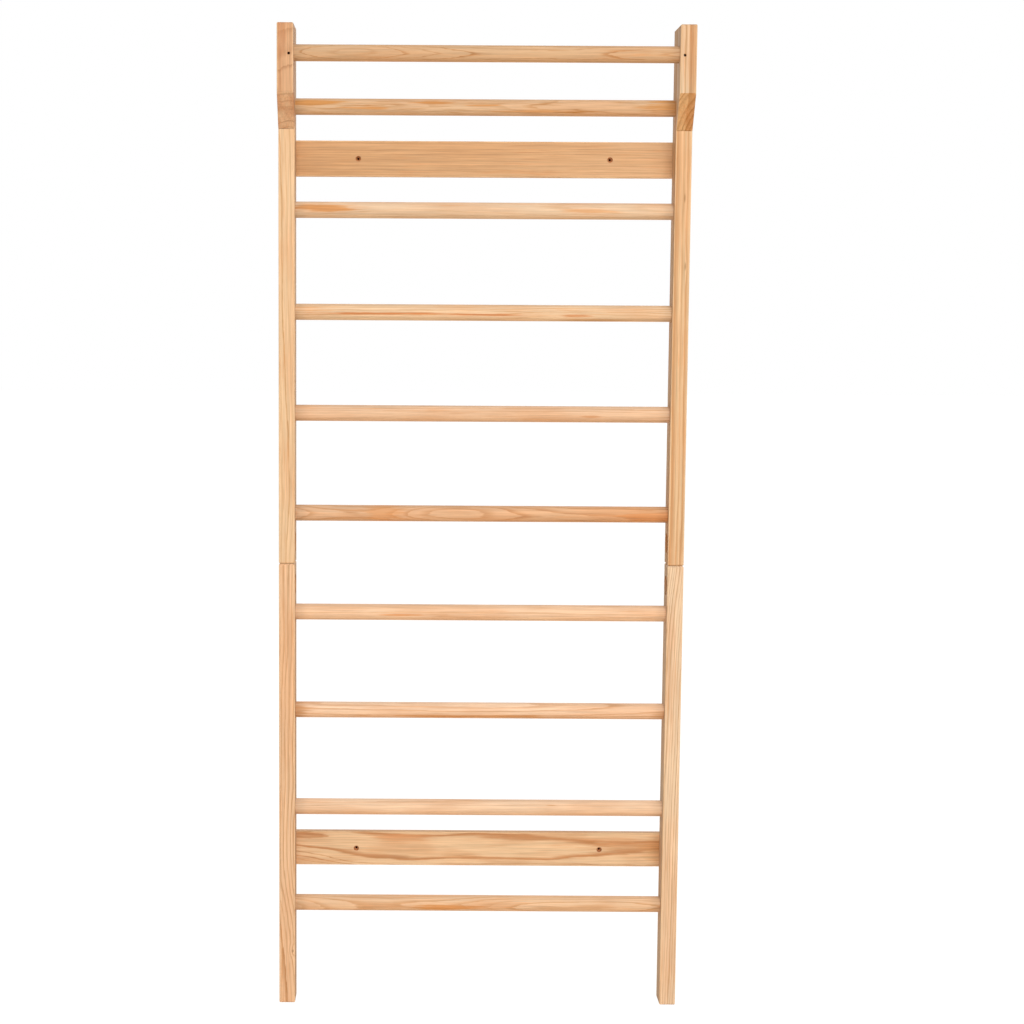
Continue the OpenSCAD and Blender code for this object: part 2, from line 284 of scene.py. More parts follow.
def addResin(tree, s, space, licks, colour):
    clusters = grainPattern(tree, space, *pineLook["clusters"])
    start, full = pineLook["clusterRange"]
    gathered = addNode(tree, "MapRange", {1: start, 2: full, 3: pineLook["clusterLow"]}, {0: clusters},
                       interpolation_type="SMOOTHSTEP")
    start, full = pineLook["lickRange"]
    licked = addNode(tree, "MapRange", {1: start, 2: full, 4: s["flameAmount"]}, {0: licks},
                     interpolation_type="SMOOTHSTEP")
    flames = addNode(tree, "Math", links={0: gathered, 1: licked}, operation="MULTIPLY")
    return addNode(tree, "Mix", {7: toLinear(s["flame"])}, {0: flames, 6: colour},
                   data_type="RGBA").outputs[2]


def addStains(tree, s, space, licks, colour):
    # ovals drawn out along the grain, their edges made ragged by the resin pattern
    rim, core = pineLook["stainRange"]
    raggedness = pineLook["stainRagged"]
    ragged = addNode(tree, "Math", {1: raggedness, 2: -raggedness / 2}, {0: licks}, operation="MULTIPLY_ADD")
    for along, aside, reach, width, stain, amount in s["stains"]:
        offset = addNode(tree, "VectorMath", {1: (aside, 0, (along * 2 - 1) * s["halfLength"])},
                         {0: space["local"]}, operation="SUBTRACT")
        oval = addNode(tree, "VectorMath", {1: (1 / width, 0, 0.5 / reach / s["halfLength"])}, {0: offset},
                       operation="MULTIPLY")
        far = addNode(tree, "VectorMath", links={0: oval}, operation="LENGTH")
        edge = addNode(tree, "Math", links={0: far.outputs["Value"], 1: ragged}, operation="ADD")
        mask = addNode(tree, "MapRange", {1: core, 2: rim, 3: amount, 4: 0.0}, {0: edge},
                       interpolation_type="SMOOTHSTEP")
        colour = addNode(tree, "Mix", {7: toLinear(stain)}, {0: mask, 6: colour}, data_type="RGBA").outputs[2]
    return colour


def surfaceLevel(tree, s, space, fibres, streaks):
    # how light the wood is: fibres and streaks, then each way of getting darker on top of the last: end
    # grain, and painted shade on the inner faces and at a rung's ends
    low, high = patternSpread
    fibreLevel = addNode(tree, "MapRange", {1: low, 2: high, 3: 1 - s["fibre"], 4: 1 + s["fibre"]},
                         {0: fibres})
    streakLevel = addNode(tree, "MapRange", {1: low, 2: high, 3: 1 - s["streak"], 4: 1 + s["streak"]},
                          {0: streaks})
    level = addNode(tree, "Math", links={0: fibreLevel, 1: streakLevel}, operation="MULTIPLY")
    facing = space["sideways"] if s["grain"] == "X" else space["upwards"]
    squareToGrain = addNode(tree, "Math", links={0: facing}, operation="ABSOLUTE")
    darker = [(squareToGrain, pineLook["endGrainRange"], pineLook["endGrain"])]
    # painted shade on the faces that look towards the rungs
    if s["innerFaceShade"] < 1:
        inside = addNode(tree, "Math", {1: s["inward"]}, {0: space["sideways"]}, operation="MULTIPLY")
        darker.append((inside, pineLook["innerFaceShadeRange"], s["innerFaceShade"]))
    # painted shade on a rung's ends, where they meet the uprights
    if s["endShade"]:
        fromMiddle = addNode(tree, "Math", links={0: space["z"]}, operation="ABSOLUTE")
        darker.append((fromMiddle, pineLook["shadeRange"], 1 - s["endShade"]))
    for source, (start, full), tone in darker:
        shade = addNode(tree, "MapRange", {1: start, 2: full, 3: 1.0, 4: tone}, {0: source},
                        interpolation_type="SMOOTHSTEP")
        level = addNode(tree, "Math", links={0: level, 1: shade}, operation="MULTIPLY")
    return level


def addTintsAndSlopeLightShade(tree, s, space, warped, colour):
    if s["slopeLightAndShade"]:
        # painted light and shade on faces that look down at a slant, but not straight down
        start, full = pineLook["slopeRange"]
        downwards = addNode(tree, "MapRange", {1: start, 2: full}, {0: space["upwards"]},
                            interpolation_type="SMOOTHSTEP")
        start, full = pineLook["undersideRange"]
        slanting = addNode(tree, "MapRange", {1: full, 2: start}, {0: space["upwards"]},
                           interpolation_type="SMOOTHSTEP")
        leaning = addNode(tree, "Math", links={0: downwards, 1: slanting}, operation="MULTIPLY")
        change = addNode(tree, "VectorMath", {0: [c - 1 for c in s["slopeLightAndShade"]]}, {3: leaning},
                         operation="SCALE")
        colour = addNode(tree, "VectorMath", links={0: colour, 1: change, 2: colour},
                         operation="MULTIPLY_ADD")
    if s["tones"][0] != s["tones"][1]:
        tint = addNode(tree, "Mix", {6: toLinear(s["tones"][0]), 7: toLinear(s["tones"][1])},
                       {0: shareOfLength(tree, s, space)}, data_type="RGBA")
        colour = addNode(tree, "Mix", {0: 1.0}, {6: colour, 7: tint.outputs[2]}, data_type="RGBA",
                         blend_type="MULTIPLY").outputs[2]
    if s["dark"]:
        flowing = addNode(tree, "SeparateXYZ", links={0: warped})
        side = addNode(tree, "Math", {1: s["darkSide"]}, {0: flowing}, operation="MULTIPLY")
        start = (0.5 - s["dark"]) * 2 * s["across"][0]
        blur = pineLook["heartBlur"]
        heart = addNode(tree, "MapRange", {1: start - blur, 2: start + blur}, {0: side},
                        interpolation_type="SMOOTHSTEP")
        colour = addNode(tree, "Mix", {7: toLinear(pineLook["heart"])}, {0: heart, 6: colour},
                         data_type="RGBA", blend_type="MULTIPLY").outputs[2]
    return colour


def addKnots(tree, s, space, colour):
    inner, outer = pineLook["knotBlur"]
    for knot in s["knots"]:
        core = addNode(tree, "MapRange", {1: inner, 2: outer, 3: pineLook["knotAmount"], 4: 0.0},
                       {0: knotDistance(tree, knot, space)}, interpolation_type="SMOOTHSTEP")
        colour = addNode(tree, "Mix", {7: toLinear(pineLook["knot"])}, {0: core, 6: colour},
                         data_type="RGBA").outputs[2]
    return colour


def addSeam(tree, s, space, patches, colour):
    # squeezed-out glue and dirt in the joint
    fromEnd = addNode(tree, "Math", {1: s["seamEnd"], 2: -s["halfLength"]}, {0: space["z"]},
                      operation="MULTIPLY_ADD")
    start, full = pineLook["seamRange"]
    line = addNode(tree, "MapRange", {1: -start, 2: -full, 4: pineLook["seamAmount"]}, {0: fromEnd},
                   interpolation_type="SMOOTHSTEP")
    start, full = pineLook["seamSpots"]
    spotty = addNode(tree, "MapRange", {1: start, 2: full, 3: pineLook["seamFaint"]}, {0: patches},
                     interpolation_type="SMOOTHSTEP")
    mask = addNode(tree, "Math", links={0: line, 1: spotty}, operation="MULTIPLY")
    return addNode(tree, "Mix", {7: toLinear(pineLook["seam"])}, {0: mask, 6: colour},
                   data_type="RGBA").outputs[2]


def addPocketShade(tree, s, space, colour):
    # painted shade in the drilled pocket, drawn as darker wood
    nearEnd, fromSeam, radius = s["pocket"]
    reach = s["across"][0]
    inner, outer = pineLook["drillBlur"]
    offset = addNode(tree, "VectorMath", {1: (0, 0, nearEnd * (s["halfLength"] - fromSeam))},
                     {0: space["local"]}, operation="SUBTRACT")
    aside = addNode(tree, "VectorMath", {1: (0, 1, 1)}, {0: offset}, operation="MULTIPLY")
    span = addNode(tree, "VectorMath", links={0: aside}, operation="LENGTH")
    within = addNode(tree, "MapRange", {1: radius + inner, 2: radius + outer, 3: 1.0, 4: 0.0},
                     {0: span.outputs["Value"]}, interpolation_type="SMOOTHSTEP")
    depth = addNode(tree, "Math", {1: s["inward"]}, {0: space["x"]}, operation="MULTIPLY")
    start, full = pineLook["pocketRange"]
    under = addNode(tree, "MapRange", {1: reach - full, 2: reach - start, 3: 1.0, 4: 0.0}, {0: depth},
                    interpolation_type="SMOOTHSTEP")
    start, full = pineLook["pocketWall"]
    offWall = addNode(tree, "MapRange", {1: start - reach, 2: full - reach}, {0: depth},
                      interpolation_type="SMOOTHSTEP")
    inside = addNode(tree, "Math", links={0: within, 1: under}, operation="MULTIPLY")
    inside = addNode(tree, "Math", links={0: inside, 1: offWall}, operation="MULTIPLY")
    mask = addNode(tree, "Math", {1: pineLook["pocketShadeAmount"]}, {0: inside}, operation="MULTIPLY")
    return addNode(tree, "Mix", {7: toLinear(pineLook["pocket"])}, {0: mask, 6: colour},
                   data_type="RGBA").outputs[2]


def addBoreShade(tree, s, space, colour):
    # painted shade in drilled holes: darker brown in the counterbore, nearly black in the narrow hole
    front = -s["across"][1]
    inner, outer = pineLook["drillBlur"]
    backNear, backFar = pineLook["backRange"]
    for aside, along, rimDepth, rimRadius, coreRadius in s["bores"]:
        offset = addNode(tree, "VectorMath", {1: (aside, 0, along)}, {0: space["local"]},
                         operation="SUBTRACT")
        flat = addNode(tree, "VectorMath", {1: (1, 0, 1)}, {0: offset}, operation="MULTIPLY")
        span = addNode(tree, "VectorMath", links={0: flat}, operation="LENGTH")
        offBack = addNode(tree, "MapRange", {1: -front - backFar, 2: -front - backNear, 3: 1.0, 4: 0.0},
                          {0: space["y"]}, interpolation_type="SMOOTHSTEP")
        for radius, top, (start, full), tone, amount in (
                (rimRadius, front, pineLook["boreRange"], pineLook["bore"], pineLook["boreShadeAmount"]),
                (coreRadius, front + rimDepth, pineLook["holeRange"], pineLook["hole"], 1)):
            within = addNode(tree, "MapRange", {1: radius + inner, 2: radius + outer, 3: 1.0, 4: 0.0},
                             {0: span.outputs["Value"]}, interpolation_type="SMOOTHSTEP")
            within = addNode(tree, "Math", links={0: within, 1: offBack}, operation="MULTIPLY")
            sunk = addNode(tree, "MapRange", {1: top + start, 2: top + full, 4: amount}, {0: space["y"]},
                           interpolation_type="SMOOTHSTEP")
            mask = addNode(tree, "Math", links={0: within, 1: sunk}, operation="MULTIPLY")
            colour = addNode(tree, "Mix", {7: toLinear(tone)}, {0: mask, 6: colour},
                             data_type="RGBA").outputs[2]
    return colour


def wearAndHighlightEdges(tree, s, space, fibres, colour, rough):
    # long edges: lacquer rubbed thin, so duller, and paler partly from wear, partly as a painted highlight
    start, full = pineLook["wornRange"]
    nearEdge = []
    for side, half in zip("xy", s["across"]):
        fromMiddle = addNode(tree, "Math", links={0: space[side]}, operation="ABSOLUTE")
        nearEdge.append(addNode(tree, "MapRange", {1: half - start, 2: half - full}, {0: fromMiddle},
                                interpolation_type="SMOOTHSTEP"))
    start, full = pineLook["wornSpots"]
    faint, strong = pineLook["wornAmounts"]
    patchy = addNode(tree, "MapRange", {1: start, 2: full, 3: faint, 4: strong}, {0: fibres},
                     interpolation_type="SMOOTHSTEP")
    wornAndHighlight = addNode(tree, "Math", links={0: nearEdge[0], 1: nearEdge[1]}, operation="MULTIPLY")
    wornAndHighlight = addNode(tree, "Math", links={0: wornAndHighlight, 1: patchy}, operation="MULTIPLY")
    colour = addNode(tree, "Mix", {7: toLinear(pineLook["wornAndHighlight"])}, {0: wornAndHighlight, 6: colour}, data_type="RGBA")
    rough = addNode(tree, "Math", {1: pineLook["wornRoughness"]}, {0: wornAndHighlight, 2: rough},
                    operation="MULTIPLY_ADD")
    return colour.outputs[2], rough


def pineMaterial(nodeName, changes):
    s = dict(pineDefaults, **changes)
    low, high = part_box(nodeName)
    half = (high - low) * mm / 2
    middle = (low + high) / 2
    s["across"] = (half.z, half.y) if s["grain"] == "X" else (half.x, half.y)
    s["halfLength"] = half.x if s["grain"] == "X" else half.z
    s["inward"] = -1 if middle.x > 0 else 1
    material, tree = newMaterial("lacqueredPine_" + nodeName)
    space = grainSpace(tree, s, middle)
    rings, warped = growthRings(tree, s, space)
    fibres = grainPattern(tree, space, *pineLook["fibres"])
    streaks = grainPattern(tree, space, *pineLook["streaks"])
    licks = grainPattern(tree, space, *pineLook["licks"])
    patches = grainPattern(tree, space, pineLook["patchStretch"], s["blushSize"], pineLook["patchDetail"])

    colour = ringColour(tree, s, rings, patches)
    colour = addResin(tree, s, space, licks, colour)
    if s["stains"]:
        colour = addStains(tree, s, space, licks, colour)
    level = surfaceLevel(tree, s, space, fibres, streaks)
    colour = addNode(tree, "VectorMath", links={0: colour, 3: level}, operation="SCALE")
    colour = addTintsAndSlopeLightShade(tree, s, space, warped, colour)
    colour = addKnots(tree, s, space, colour)
    if s["seamEnd"]:
        colour = addSeam(tree, s, space, patches, colour)
    if s["pocket"]:
        colour = addPocketShade(tree, s, space, colour)
    colour = addBoreShade(tree, s, space, colour)
    smooth, dull = pineLook["roughness"]
    start, full = pineLook["roughRange"]
    rough = addNode(tree, "MapRange", {1: start, 2: full, 3: smooth, 4: dull}, {0: streaks})
    if s["edges"]:
        colour, rough = wearAndHighlightEdges(tree, s, space, fibres, colour, rough)

    height = addNode(tree, "Math", {1: pineLook["ringRelief"]}, {0: rings, 2: fibres},
                     operation="MULTIPLY_ADD")
    relief = addNode(tree, "Bump", {"Strength": pineLook["reliefStrength"],
                                    "Distance": pineLook["reliefHeight"]}, {"Height": height})
    lacquer = addNode(tree, "BsdfPrincipled", {"IOR": pineLook["ior"],
                                               "Specular IOR Level": pineLook["specular"]},
                      {"Base Color": colour, "Roughness": rough, "Normal": relief})
    addNode(tree, "OutputMaterial", links={"Surface": lacquer})
    return material


def dress(nodeName, material):
    mesh = nodes[nodeName].data
    mesh.materials.clear()
    mesh.materials.append(material)


# the uprights' inner faces get a painted shade
uprightDefaults = {"innerFaceShade": 0.8}
uprights = {
    "left_upright_upper": {"seed": 2, "pith": (-52, 50), "ringWidth": 5.0, "warp": 8, "lateStart": 0.6,
                           "early": "#e4c29b", "late": "#b67f42", "tilt": (0.4, 0.5), "ringStrength": 0.72,
                           "bend": ((0, -9), (0.12, 0), (0.3, 3), (0.7, 0), (1, -4)), "seamEnd": -1,
                           "pocket": (-1, 48, 22.5)},
    "left_upright_lower": {"seed": 1, "pith": (-46, 50), "ringWidth": 4.4, "warp": 8, "lateStart": 0.45,
                           "early": "#eac39d", "late": "#b37c4b", "ringStrength": 1.0,
                           "knots": ((13, -386, 3.0, 0.8, 1.6),), "pocket": (1, 48, 22.5),
                           "bend": ((0, 18), (0.16, 8), (0.34, -16), (0.52, -8), (0.8, 0), (1, 8))},
    "right_upright_upper": {"seed": 4, "pith": (110, 36), "ringWidth": 9.5, "warp": 5, "ringStrength": 0.68,
                            "early": "#e0bd94", "late": "#bc7d45", "tilt": (0.2, 0.1), "seamEnd": -1,
                            "knots": ((4, 224, 2.4, 0.25, 5.0), (8, 75, 2.2, 0.2, 5.0)),
                            "lateStart": 0.35, "pocket": (-1, 48, 22.5)},
    "right_upright_lower": {"seed": 3, "pith": (96, 50), "ringWidth": 4.8, "warp": 4, "lateStart": 0.45,
                            "early": "#eacead", "late": "#af7c4d", "ringStrength": 0.82,
                            "bend": ((0, -8), (0.3, -3), (0.6, 1), (0.8, 8), (1, 26)),
                            "pocket": (1, 48, 22.5)},
}
# the heads get a glue line at the joint below and a painted shade on their inner faces
headDefaults = {"seamEnd": -1, "innerFaceShade": 0.85}
# the heads' slopes: painted light on the left, painted shade on the right
headBlocks = {
    "left_head_block": {"seed": 5, "pith": (4, 120), "ringWidth": 15.0, "warp": 10, "ringStrength": 0.55,
                        "tilt": (14, 2), "lateStart": 0.55, "early": "#d1a57f", "late": "#95603a",
                        "blush": "#bd8058", "blushAmount": 0.6, "blushSize": 26,
                        "slopeLightAndShade": (1.05, 1.14, 1.2), "bores": ((8, 46, 5, 3, 2),)},
    "right_head_block": {"seed": 6, "pith": (72, 58), "ringWidth": 9.0, "warp": 3, "ringStrength": 0.76,
                         "early": "#ddc2a1", "late": "#a47136", "lateStart": 0.3, "dark": 0.46,
                         "darkSide": 1, "slopeLightAndShade": (0.92, 0.75, 0.54), "bores": ((-8, 46, 5, 3, 2),)},
}
boardDefaults = {"grain": "X", "bores": ((0, -280, 7, 6, 2.5), (0, 280, 7, 6, 2.5))}
boards = {
    "upper_wall_board": {"seed": 7, "pith": (240, 60), "ringWidth": 7.5, "warp": 7, "ripple": 2.4,
                         "tilt": (0.1, 0.3), "early": "#d8b088", "late": "#a87b4c", "ringStrength": 0.42,
                         "lateStart": 0.35, "blush": "#c99769", "blushAmount": 0.3,
                         "tones": ("#f4ece2", "#ffffff")},
    "lower_wall_board": {"seed": 8, "pith": (-28, 47.5), "ringWidth": 8.0, "warp": 11, "ripple": 2.0,
                         "tilt": (0.4, 0.2), "early": "#e6c49d", "late": "#b06a2e", "ringStrength": 0.92,
                         "lateStart": 0.62, "blush": "#cf9c70", "blushAmount": 0.5, "blushSize": 36,
                         "bend": ((0, -16), (0.1, 0), (0.2, 15), (0.3, 19), (0.48, 17), (0.75, 23), (1, 27)),
                         "stains": ((0.97, 0, 0.06, 34, "#cc935c", 0.5), (0.3, -24, 0.07, 9, "#d99c6c", 0.5),
                                    (0.84, -22, 0.08, 9, "#dba273", 0.5))},
}
# rungs: painted shade at their ends
rungDefaults = {"grain": "X", "edges": False, "tilt": (0.6, 0.4), "lateStart": 0.45, "endShade": 0.16}
rungs = {
    "top_rung": {"seed": 11, "pith": (2, 40), "ringWidth": 3.6, "early": "#d1ac86", "late": "#b27c4a",
                 "dive": ((0, 4), (0.14, 12), (0.36, 0), (0.6, -6), (1, -4)), "lateStart": 0.7,
                 "ringStrength": 0.8},
    "rung_9": {"seed": 12, "pith": (16, 36), "ringWidth": 4.0, "early": "#d9b793", "late": "#b5824d",
               "dive": ((0, 0), (0.2, 5), (0.45, -4), (0.85, 6), (1, 2)), "warp": 14, "flameAmount": 1.0,
               "flame": "#b57e47", "ringStrength": 0.45,
               "stains": ((0.07, -7, 0.08, 6, "#c5863f", 0.8), (0.2, 4, 0.07, 3, "#cf8f50", 0.8),
                          (0.37, -9, 0.06, 4, "#c98848", 0.8), (0.5, -3, 0.04, 2.5, "#cf8f50", 0.7),
                          (0.62, 9, 0.1, 4, "#cf9050", 0.6), (1.0, -4, 0.1, 17, "#c5863f", 0.7))},
    "rung_8": {"seed": 13, "pith": (30, 40), "ringWidth": 7.0, "early": "#e0c2a2", "late": "#c6996c",
               "dive": ((0, 12), (0.2, 0), (0.5, -3), (0.75, 2), (1, 8)), "warp": 5, "lateStart": 0.6,
               "ringStrength": 0.4,
               "stains": ((0.09, -3, 0.1, 9, "#d08e50", 0.85), (0.77, 0, 0.07, 5, "#dca06a", 0.6))},
    "rung_7": {"seed": 14, "pith": (-54, 34), "ringWidth": 4.5, "early": "#e7c7a3", "late": "#c18b56",
               "bend": ((0, 0), (0.5, 3), (0.75, 0), (1, 9)), "warp": 5,
               "stains": ((0.25, 2.5, 0.2, 2.4, "#d08450", 0.9), (0.5, 4.5, 0.12, 2.4, "#d08450", 0.8),
                          (0.735, 6, 0.04, 3.5, "#cb8350", 0.7))},
    "rung_6": {"seed": 15, "pith": (74, 18), "ringWidth": 3.8, "early": "#e5c09e", "late": "#c9956a",
               "bend": ((0, 0), (0.7, 2), (1, 5)), "warp": 4, "ringStrength": 0.6,
               "stains": ((0.78, 5, 0.03, 2.5, "#cf8e5c", 0.6),)},
    "rung_5": {"seed": 16, "pith": (-4, 30), "ringWidth": 5.0, "early": "#deba98", "late": "#b47c4c",
               "dive": ((0, 8), (0.18, -6), (0.42, 9), (0.65, -4), (1, -10)), "warp": 10,
               "tones": ("#ffffff", "#ffeedd"),
               "stains": ((0.25, 0, 0.05, 22, "#dc9a60", 0.5), (0.97, 3, 0.1, 13, "#d58e50", 0.5))},
    "rung_4": {"seed": 17, "pith": (70, 42), "ringWidth": 5.0, "early": "#f0ccaa", "late": "#d2a070",
               "bend": ((0, 0), (0.3, -2), (1, 4)), "warp": 4, "ringStrength": 0.6,
               "stains": ((0.3, 3.5, 0.07, 2.2, "#dd9a66", 0.8),)},
    "rung_3": {"seed": 18, "pith": (46, 24), "ringWidth": 7.0, "early": "#f3cfae", "late": "#c68855",
               "bend": ((0, 4), (0.3, 9), (0.7, 6), (1, -8)), "warp": 5,
               "stains": ((0.45, 11, 0.28, 3, "#cf8c4e", 0.8), (0.02, 0, 0.04, 20, "#c98a50", 0.6),
                          (1.0, 5, 0.05, 10, "#cf9058", 0.6))},
    "rung_2": {"seed": 19, "pith": (84, 30), "ringWidth": 3.6, "early": "#f1cfae", "late": "#d5a378",
               "warp": 3, "ringStrength": 0.6, "flameAmount": 0.2,
               "stains": ((0.69, -9, 0.02, 1.4, "#d0925e", 0.7),)},
    "rung_1": {"seed": 20, "pith": (-10, 34), "ringWidth": 4.5, "early": "#e9c5a0", "late": "#c18854",
               "bend": ((0, -8), (0.35, 6), (0.6, 0), (1, 6)), "dive": ((0, 6), (0.4, -5), (0.7, 5), (1, -4)),
               "stains": ((0.41, 6, 0.08, 7, "#d9924f", 0.8), (0.53, 0, 0.08, 14, "#e0a06a", 0.4))},
}
for shared, group in ((uprightDefaults, uprights), (headDefaults, headBlocks), (boardDefaults, boards),
                      (rungDefaults, rungs)):
    for name, changes in group.items():
        dress(name, pineMaterial(name, dict(shared, **changes)))
print("stage: pine dressed")

# bright zinc-plated steel: smooth passivated plate, faint cloudy spangle, hardly any colour
zincPlate = {
    "light": "#c9ccd0",
    "shade": "#a9acb0",
    "cloudsPerMetre": 900.0,     # about a millimetre across
    "roughness": (0.24, 0.42),
}
zinc, tree = newMaterial("zincPlatedSteel")
place = addNode(tree, "TexCoord")
cloud = addNode(tree, "TexNoise", {"Scale": zincPlate["cloudsPerMetre"], "Detail": 3.0},
                {"Vector": place.outputs["Object"]})
tint = addNode(tree, "Mix", {6: toLinear(zincPlate["light"]), 7: toLinear(zincPlate["shade"])}, {0: cloud},
               data_type="RGBA")
low, high = patternSpread
smooth, dull = zincPlate["roughness"]
rough = addNode(tree, "MapRange", {1: low, 2: high, 3: smooth, 4: dull}, {0: cloud})
plate = addNode(tree, "BsdfPrincipled", {"Metallic": 1.0},
                {"Base Color": tint.outputs[2], "Roughness": rough})
addNode(tree, "OutputMaterial", links={"Surface": plate})

# bare beech dowel: tight grain, compressed flutes, no lacquer
beechDowel = {
    "light": "#d9b48a",
    "shade": "#bd9064",
    "flecksPerMetre": 900.0,
    "drawnOut": 0.05,            # scale of the flecks along the dowel
    "roughness": 0.7,
    "reliefStrength": 0.3,
    "reliefHeight": 0.0003,      # in metres
}
beech, tree = newMaterial("bareBeech")
place = addNode(tree, "TexCoord")
long = addNode(tree, "Mapping", {"Scale": (1, 1, beechDowel["drawnOut"])},
               {"Vector": place.outputs["Object"]})
fleck = addNode(tree, "TexNoise", {"Scale": beechDowel["flecksPerMetre"], "Detail": 3.0}, {"Vector": long})
tint = addNode(tree, "Mix", {6: toLinear(beechDowel["light"]), 7: toLinear(beechDowel["shade"])}, {0: fleck},
               data_type="RGBA")
relief = addNode(tree, "Bump", {"Strength": beechDowel["reliefStrength"],
                                "Distance": beechDowel["reliefHeight"]}, {"Height": fleck})
wood = addNode(tree, "BsdfPrincipled", {"Roughness": beechDowel["roughness"]},
               {"Base Color": tint.outputs[2], "Normal": relief})
addNode(tree, "OutputMaterial", links={"Surface": wood})

# black phosphated steel: matt, near black, a little brown from old oil where it is rubbed
blackScrew = {
    "dark": "#22130e",
    "rubbed": "#38261c",
    "patchesPerMetre": 1200.0,
    "roughness": 0.7,
    "specular": 0.1,
}
phosphate, tree = newMaterial("blackPhosphatedSteel")
place = addNode(tree, "TexCoord")
rub = addNode(tree, "TexNoise", {"Scale": blackScrew["patchesPerMetre"], "Detail": 2.0},
              {"Vector": place.outputs["Object"]})
tint = addNode(tree, "Mix", {6: toLinear(blackScrew["dark"]), 7: toLinear(blackScrew["rubbed"])}, {0: rub},
               data_type="RGBA")
coating = addNode(tree, "BsdfPrincipled", {
    "Roughness": blackScrew["roughness"], "Specular IOR Level": blackScrew["specular"]},
    {"Base Color": tint.outputs[2]})
addNode(tree, "OutputMaterial", links={"Surface": coating})

# threaded rod and hexagon nuts of the splice, in millimetres
splice = {
    "pitch": 1.25,           # coarse thread of an 8 mm rod
    "threadDepth": 0.65,
    "rodChamfer": 1.0,
    "steps": 24,             # steps round the rod
    "acrossFlats": 13.0,
    "cutsPerFlat": 3,        # so that the bore has four edges for each flat
    "nutThickness": 6.5,
    "bore": 8.2,
    "crown": 0.96,           # where a nut's corners start to slope, as a share of its width across flats
    "crownSlope": 30,
    "flatAngle": 12,         # between the flats on a nut's corner
    "rodMerge": 0.01,
    "merge": 0.001,
    "cutMerge": 0.0001,
}


def cutOff(bm, spot, outward):
    cut = bmesh.ops.bisect_plane(bm, geom=bm.verts[:] + bm.edges[:] + bm.faces[:], dist=splice["cutMerge"],
                                 plane_co=spot, plane_no=outward, clear_outer=True)
    rim = [edge for edge in cut["geom_cut"] if isinstance(edge, bmesh.types.BMEdge)]
    if rim:
        bmesh.ops.contextual_create(bm, geom=rim)


def finishPiece(bm, name, nodeName, middle):
    bmesh.ops.remove_doubles(bm, verts=bm.verts, dist=splice["merge"])
    bmesh.ops.recalc_face_normals(bm, faces=bm.faces)
    bm.transform(Matrix.Diagonal((1 / mm, 1 / mm, 1 / mm, 1)) @ Matrix.Translation(middle))
    mesh = bpy.data.meshes.new(name)
    bm.to_mesh(mesh)
    bm.free()
    mesh.materials.append(zinc)
    piece = bpy.data.objects.new(name, mesh)
    bpy.context.scene.collection.objects.link(piece)
    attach(piece, "root")
    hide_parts(nodeName)


def cutThreadedRod(name, nodeName):
    low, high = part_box(nodeName)
    radius = (high.x - low.x) * mm / 2
    half = (high.z - low.z) * mm / 2
    root = radius - splice["threadDepth"]
    turns = int(2 * half / splice["pitch"]) + 4      # a few too many, cut off at the ends
    start = -splice["pitch"] * turns / 2
    bm = bmesh.new()
    profile = [bm.verts.new((radius if i % 2 else root, 0, start + splice["pitch"] * i / 2))
               for i in range(2 * turns + 1)]
    edges = [bm.edges.new(pair) for pair in zip(profile, profile[1:])]
    bmesh.ops.spin(bm, geom=profile + edges, cent=(0, 0, 0), axis=(0, 0, 1),
                   dvec=(0, 0, splice["pitch"] / splice["steps"]), angle=tau, steps=splice["steps"],
                   use_merge=False)
    bmesh.ops.remove_doubles(bm, verts=bm.verts, dist=splice["rodMerge"])
    for end in (-1, 1):
        cutOff(bm, (0, 0, end * half), (0, 0, end))
    for vert in bm.verts:
        # the ends are chamfered down to the root of the thread
        reach = radius - splice["rodChamfer"] + half - abs(vert.co.z)
        across = vert.co.xy.length
        if across > reach:
            vert.co.xy *= reach / across
    finishPiece(bm, name, nodeName, (low + high) / 2 * mm)


def cutNuts(name, nodeName):
    low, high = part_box(nodeName)
    half = (high.z - low.z) * mm / 2
    flat = splice["acrossFlats"] / 2
    thick = splice["nutThickness"]
    slope = radians(splice["crownSlope"])
    halfFlat = tau / 12          # half the angle that one of the six flats takes up
    turn = Matrix.Rotation(halfFlat, 4, "Z")
    bm = bmesh.new()
    bmesh.ops.create_circle(bm, segments=6, radius=flat / cos(halfFlat), matrix=turn)
    bmesh.ops.subdivide_edges(bm, edges=bm.edges[:], cuts=splice["cutsPerFlat"])
    bmesh.ops.create_circle(bm, segments=len(bm.verts), radius=splice["bore"] / 2, matrix=turn)
    bmesh.ops.bridge_loops(bm, edges=bm.edges[:])
    bmesh.ops.translate(bm, verts=bm.verts[:], vec=(0, 0, -thick / 2))
    raised = bmesh.ops.extrude_face_region(bm, geom=bm.faces[:])["geom"]
    bmesh.ops.translate(bm, verts=[v for v in raised if isinstance(v, bmesh.types.BMVert)], vec=(0, 0, thick))
    for face in (-1, 1):
        for corner in range(6):
            for lean in (-1, 0, 1):
                # three flats on each corner stand for the cone that a nut's corners are turned down to
                angle = tau / 6 * corner + radians(splice["flatAngle"]) * lean
                way = Vector((cos(angle), sin(angle), 0))
                spot = way * flat * splice["crown"] + Vector((0, 0, face * thick / 2))
                cutOff(bm, spot, way * sin(slope) + Vector((0, 0, face * cos(slope))))
    bmesh.ops.translate(bm, verts=bm.verts[:], vec=(0, 0, half - thick / 2))
    bmesh.ops.mirror(bm, geom=bm.verts[:] + bm.edges[:] + bm.faces[:], axis="Z", merge_dist=0)
    finishPiece(bm, name, nodeName, (low + high) / 2 * mm)


for side in ("left", "right"):
    cutThreadedRod(side + "ThreadedRod", side + "_splice_rod")
    cutNuts(side + "HexNuts", side + "_splice_nuts")
print("stage: splice rods and nuts made")

